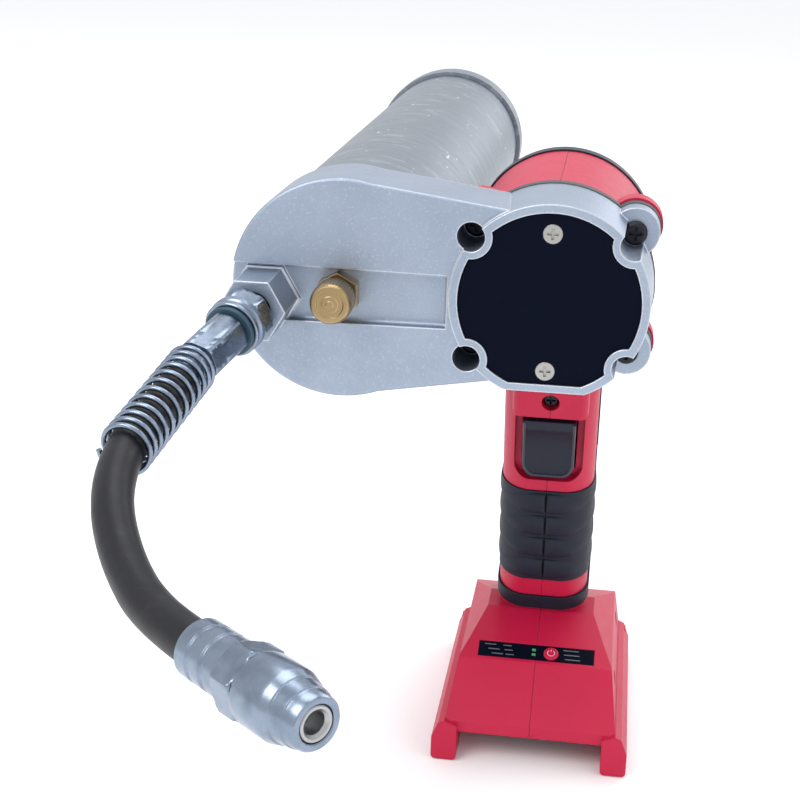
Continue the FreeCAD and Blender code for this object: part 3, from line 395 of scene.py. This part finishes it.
def wire(name, points, radius, slot, order=None, **extra):
    """A round wire, rod or hose along points in metres; order makes it a smooth spline."""
    curve = bpy.data.curves.new(name, "CURVE")
    curve.dimensions = "3D"
    spline = curve.splines.new("NURBS" if order else "POLY")
    spline.points.add(len(points) - 1)
    for point, place in zip(spline.points, points):
        point.co = (*place, 1)
    if order:
        spline.order_u = order
        spline.use_endpoint_u = True
        spline.resolution_u = 24
    curve.bevel_depth = radius * MM
    curve.bevel_resolution = 8
    curve.use_fill_caps = True
    return keep(name, curve, slot, **extra)


# ------------------------------------------------------------------ hose
ROUTE = [(-96.92, -59.20, -13.31), (-99.2, -76.1, -16.7), (-101.7, -94.4, -20.3),
         (-99.0, -113.3, -26.5), (-90.6, -130.0, -34.1), (-77.6, -148.5, -38.0),
         (-63.5, -161.1, -37.6)]
HOSE_DIAMETER, HOSE_LENGTH = 10.6, 117.8
route = [at(*point) for point in ROUTE]
hose = wire("whip_hose", route, HOSE_DIAMETER / 2, "hose_rubber", order=3, stands_for=["hose"])

FITTING_LENGTH = 35.2                    # from the boss face to the spring guard
GUARD_RADIUS, GUARD_SETBACK, GUARD_WIRE = 6.75, 1.8, 0.75
GUARD_START = at(*PORT) + FITTING * FITTING_LENGTH * MM
GUARD_END = at(-101.3, -95.1, -20.7)
GUARD = (GUARD_END - GUARD_START).normalized()


def guard_points():
    """A spring's centre line: its turns are close at both ends and open between them."""
    turns, each = 12, 28
    side = GUARD.cross(Vector((0, 0, 1))).normalized()
    up = side.cross(GUARD)
    points = []
    for i in range(turns * each + 1):
        share = i / (turns * each)
        along = share - 0.035 * math.sin(2 * math.pi * share)
        angle = 2 * math.pi * i / each
        radius = GUARD_RADIUS * MM
        middle_line = (GUARD_START + GUARD * GUARD_SETBACK * MM).lerp(GUARD_END, along)
        points.append(middle_line + (side * math.cos(angle) + up * math.sin(angle)) * radius)
    return points


guard = wire("guard_spring", guard_points(), GUARD_WIRE, "plated_steel", stands_for=["spring_guard"])


def crimped(length, radius, pitch, depth):
    """A sleeve's profile with shallow grooves pressed into it."""
    profile = [(0, 0), (radius - 0.3, 0), (radius, 0.3)]
    count = int((length - 1) / pitch)
    for i in range(count):
        start = 0.4 + i * pitch
        profile += [(radius, start), (radius, start + pitch * 0.6),
                    (radius - depth, start + pitch * 0.72), (radius - depth, start + pitch * 0.88)]
    return profile + [(radius, length - 0.3), (radius - 0.3, length), (0, length)]


ferrule = turned("hose_sleeve", crimped(10.6, 5.15, 1.6, 0.22), GUARD_START, GUARD, "plated_steel",
                 stands_for=["hose_ferrule"])

# ------------------------------------------------------------------ port fittings
port = at(*PORT)
turned("adapter_nut", [(0, -1), (5.6, -1), (5.6, 1.6), (7.5, 1.6), (8.1, 1.9), (8.7, 2.5), (8.7, 7.2),
                       (8.2, 7.7), (7.7, 8), (0, 8)], port, FITTING, "plated_steel",
       form=hexagon(8.7), steps=144, stands_for=["port_adapter"])
turned("adapter_collar", [(0, 8), (8.3, 8), (8.8, 8.4), (8.8, 10), (8.5, 10.4), (7.9, 10.7),
                          (7.9, 11), (8.4, 11.3), (8.6, 11.6), (8.6, 12.7), (8.3, 13), (0, 13)],
       port, FITTING, "plated_steel")
turned("seal_ring", [(0, 13), (7.4, 13), (7.7, 13.3), (7.7, 14.3), (7.4, 14.6), (0, 14.6)],
       port, FITTING, "seal_blue", stands_for=["port_seal"])
turned("hose_nut", [(0, 14.6), (5.6, 14.6), (6.3, 15.3), (7, 16.4), (7, 27.4), (6.55, 27.8),
                    (6.55, 28.3), (7, 28.7), (7, 31), (6.7, 31.3), (7, 31.6), (7, 34.1), (6.6, 34.6),
                    (0, 34.6)], port, FITTING, "plated_steel", form=hexagon(7.3), steps=144,
       stands_for=["hose_fitting"])

# ------------------------------------------------------------------ coupler
hose_end = route[-1]
COUPLER = (route[-1] - route[-2]).normalized()
sleeve = turned("coupler_sleeve", [(0, 0), (6, 0), (6.3, 0.3), (6.9, 1), (6.9, 4.8), (6.6, 5.1),
                                   (6.5, 5.7), (6.6, 6.2), (6.9, 6.5), (6.9, 9.8), (6.6, 10.1),
                                   (6.5, 10.7), (6.6, 11.2), (6.9, 11.5), (6.9, 15.7), (6.6, 16),
                                   (0, 16)], hose_end, COUPLER, "plated_steel",
                stands_for=["coupler_ferrule"])
hex_nut = turned("coupler_nut", [(0, 16), (7.6, 16), (8.2, 16.3), (8.6, 16.9), (8.6, 22.2),
                                 (8.2, 22.7), (7.7, 23), (0, 23)], hose_end, COUPLER,
                 "plated_steel", form=hexagon(8.6), steps=144)
nose = turned("coupler_nose", [(0, 23), (7.6, 23), (8, 23.3), (8.2, 24.2), (8.2, 32.4), (8, 33.1),
                               (7.4, 35), (7.1, 35.2), (7.0, 35.8), (6.6, 38.6), (6.35, 38.8),
                               (6.2, 39.4), (5.95, 41.4), (5.6, 41.9), (5.3, 42), (4.4, 42),
                               (4.15, 41.7), (4.15, 36.6), (0, 36.6)], hose_end, COUPLER,
              "plated_steel", stands_for=["coupler_body"])
jaws = turned("coupler_collet", [(0, 33), (2.5, 33), (2.5, 41), (3.2, 41.8), (3.7, 41.9), (4, 41.6),
                                 (4, 36.7), (0, 36.7)], hose_end, COUPLER, "gear_steel",
              stands_for=["coupler_jaws"])

# ------------------------------------------------------------------ bleed knob
KNURLS, KNURL_FROM, KNURL_DEPTH = 40, 6.2, 0.22
BLEED = (-64.2, 4, -1.2)                 # middle of the bleed valve, from the gear axis


def knurled(angle, radius):
    """Fine ribs round the widest part of the knob."""
    if radius < KNURL_FROM:
        return radius
    return radius - KNURL_DEPTH * abs((angle * KNURLS / (2 * math.pi)) % 1 * 2 - 1)


FRONT = Vector((0, -1, 0))
turned("bleed_knob_turned", [(0, 8), (5.6, 8), (6.1, 8.2), (6.4, 8.8), (6.4, 15.6), (6.0, 16.4),
                             (5.5, 16.95), (5.1, 17), (4.2, 17), (3.9, 16.6), (2.6, 16.6),
                             (2.4, 16.75), (1.2, 16.75), (1, 16.95), (0, 16.95)],
       at(*BLEED), FRONT, "brass", form=knurled, steps=KNURLS * 4, body="bleed_knob",
       stands_for=["bleed_knob"])

# ------------------------------------------------------------------ barrel ring
BARREL_MOUTH = (-63.7, 27.4, 0)          # on the barrel's axis, where it leaves the casting
turned("barrel_seal_lip", [(32.27, 0), (32.5, 0.1), (32.55, 0.5), (32.5, 0.9), (32.27, 1)],
       at(*BARREL_MOUTH), Vector((0, 1, 0)), "seal_cream", closed=True, body="barrel")


# ------------------------------------------------------------------ grip bands
def section(half_width, half_depth, angle, power=2.8):
    """A point on the handle's rounded outline."""
    c, s = math.cos(angle), math.sin(angle)
    reach = (abs(c / half_width) ** power + abs(s / half_depth) ** power) ** (-1 / power)
    return reach * c, reach * s


def band(name, top, bottom, side):
    """A soft swelling across half of the grip's front, sunk into the rubber at its edges."""
    rows, columns = 12, 28
    bm = bmesh.new()
    grid = []
    for i in range(rows + 1):
        down_share = i / rows
        line = []
        for j in range(columns + 1):
            share = j / columns
            angle = -math.pi / 2 + side * (0.02 + 1.42 * share)
            swell = (math.sin(math.pi * down_share) ** 0.4) * (1 - share ** 6)
            rise = 1.35 * swell - 0.3
            x, back = section(17.4 + rise, 21.4 + rise, angle)
            line.append(bm.verts.new(on_handle(x, back, top + (bottom - top) * down_share)))
        grid.append(line)
    for i in range(rows):
        for j in range(columns):
            bm.faces.new((grid[i][j], grid[i][j + 1], grid[i + 1][j + 1], grid[i + 1][j]))
    bmesh.ops.recalc_face_normals(bm, faces=bm.faces)
    mesh = bpy.data.meshes.new(name)
    bm.to_mesh(mesh)
    bm.free()
    mesh.polygons.foreach_set("use_smooth", [True] * len(mesh.polygons))
    made = keep(name, mesh, "rubber_black")
    thick = made.modifiers.new("thick", "SOLIDIFY")
    thick.thickness = 0.5 * MM
    thick.offset = 0
    return made


BANDS, BAND_TOP, BAND_END = 4, 90.8, 132.5
BAND_PITCH, GROOVE_HALF = (BAND_END - BAND_TOP) / BANDS, 0.5
for number in range(BANDS):
    top = BAND_TOP + BAND_PITCH * number + GROOVE_HALF
    bottom = BAND_TOP + BAND_PITCH * (number + 1) - GROOVE_HALF
    for side, word in ((-1, "left"), (1, "right")):
        band(f"grip_band_{word}_{number + 1}", top, bottom, side)

# ------------------------------------------------------------------ trigger rim
TRIGGER_FRONT, TRIGGER_TOP, TRIGGER_END, TRIGGER_HALF = -24.6, 57, 81.5, 9.4


def trigger_rim_highlight():
    """The raised edge round the trigger's hollow face, drawn in a lighter black as a painted
    highlight.
    """
    corner, inset = 4.5, 0.55
    hollow, hollow_ahead = 25, 22.6      # its radius, and how far its centre lies ahead of the face
    proud = 0.15
    middle_down = (TRIGGER_TOP + TRIGGER_END) / 2 + 2
    half, bottom, top = TRIGGER_HALF - inset, TRIGGER_END - inset, TRIGGER_TOP + inset
    outline = [(-half, top + (bottom - corner - top) * i / 14) for i in range(15)]
    for sign, start in ((-1, math.pi), (1, math.pi / 2)):
        for i in range(1, 9):
            angle = start - math.pi / 2 * i / 9
            outline.append((sign * (half - corner) + corner * math.cos(angle),
                            bottom - corner + corner * math.sin(angle)))
    outline += [(half, bottom - corner - (bottom - corner - top) * i / 14) for i in range(15)]
    points = []
    for x, down in outline:
        dip = math.sqrt(hollow ** 2 - (down - middle_down) ** 2) - hollow_ahead
        points.append(on_handle(x, TRIGGER_FRONT + max(0, dip) + proud, down))
    return points


# The trigger's raised edge in the lighter black, as a painted highlight.
wire("trigger_edge", trigger_rim_highlight(), 0.6, "nylon_black", body="trigger", material=RIM_HIGHLIGHT)

# ------------------------------------------------------------------ label
def plates(name, boxes, slot, material):
    """Thin raised marks on the label; boxes are (x, up, half width, half height)."""
    height, sunk = 0.06, 0.02
    bm = bmesh.new()
    for x, up, half, tall in boxes:
        low = [bm.verts.new(on_panel(x + i * half, up + j * tall, -sunk))
               for i, j in ((-1, -1), (1, -1), (1, 1), (-1, 1))]
        high = [bm.verts.new(on_panel(x + i * half * 0.96, up + j * tall * 0.9, height))
                for i, j in ((-1, -1), (1, -1), (1, 1), (-1, 1))]
        bm.faces.new(low[::-1])
        bm.faces.new(high)
        for i in range(4):
            bm.faces.new((low[i], low[(i + 1) % 4], high[(i + 1) % 4], high[i]))
    bmesh.ops.recalc_face_normals(bm, faces=bm.faces)
    mesh = bpy.data.meshes.new(name)
    bm.to_mesh(mesh)
    bm.free()
    return keep(name, mesh, slot, material=material)


marks = []
for row, up in enumerate((2.1, 0, -2.1)):
    marks += [(-17.5 + 1.5 * row, up, 2.2, 0.22), (-11 + 0.6 * row, up, 1.6, 0.22),
              (13 + 0.4 * row, up, 3.0, 0.22)]
plates("label_rows", marks, "cover_black", MARKS)


BUTTON_X, BUTTON_UP, BUTTON_FACE = 5.6, -0.2, 0.68
RING_RADIUS, STROKE_WIDTH = 1.35, 0.17


def arc(radius, start, end, out):
    """Points of an arc on the power button's face."""
    points = []
    for i in range(25):
        angle = start + (end - start) * i / 24
        points.append(on_panel(BUTTON_X + radius * math.cos(angle),
                               BUTTON_UP + radius * math.sin(angle), out))
    return points


gap = math.radians(38)
wire("power_ring", arc(RING_RADIUS, math.pi / 2 + gap, math.pi * 2.5 - gap, BUTTON_FACE),
     STROKE_WIDTH, "housing_pink", body="power_button", material=SYMBOL)
stroke = [on_panel(BUTTON_X, up, BUTTON_FACE) for up in (0.4, 1.35)]
wire("power_stroke", stroke, STROKE_WIDTH, "housing_pink", body="power_button", material=SYMBOL)


# ------------------------------------------------------------------ studio
def studio():
    bm = bmesh.new()
    bmesh.ops.create_grid(bm, x_segments=2, y_segments=2, size=8)
    mesh = bpy.data.meshes.new("floor")
    bm.to_mesh(mesh)
    bm.free()
    floor = bpy.data.objects.new("floor", mesh)
    bpy.context.collection.objects.link(floor)
    floor_gap = 0.4 * MM
    floor.location.z = cad_low[2] - floor_gap
    paper = Surface("floor_paper", (0.95, 0.95, 0.95), 0, 0.9)
    mesh.materials.append(paper.material)
    for name, place, size, power, tint in (
            ("key", (-0.9, -1.1, 1.5), 1.0, 15, (1, 0.99, 0.98)),
            ("fill", (1.2, -0.9, 0.8), 1.0, 3, (0.95, 0.97, 1)),
            ("top", (0, 0.4, 1.8), 1.2, 12, (1, 1, 1)),
            ("rim", (0.9, 1.3, 0.9), 0.9, 6, (1, 1, 1))):
        light = bpy.data.lights.new(name, "AREA")
        light.size = size
        light.energy = power
        light.color = tint
        made = bpy.data.objects.new(name, light)
        bpy.context.collection.objects.link(made)
        made.location = place
        aim = Vector((-0.03, -0.02, 0.14)) - Vector(place)
        made.rotation_mode = "QUATERNION"
        made.rotation_quaternion = aim.to_track_quat("-Z", "Y")
    world = bpy.data.worlds.new("studio")
    world.use_nodes = True
    sky = world.node_tree.nodes["Background"]
    sky.inputs["Color"].default_value = (0.97, 0.98, 1, 1)
    sky.inputs["Strength"].default_value = 1.0
    bpy.context.scene.world = world
    bpy.context.scene.view_settings.view_transform = "Standard"


studio()
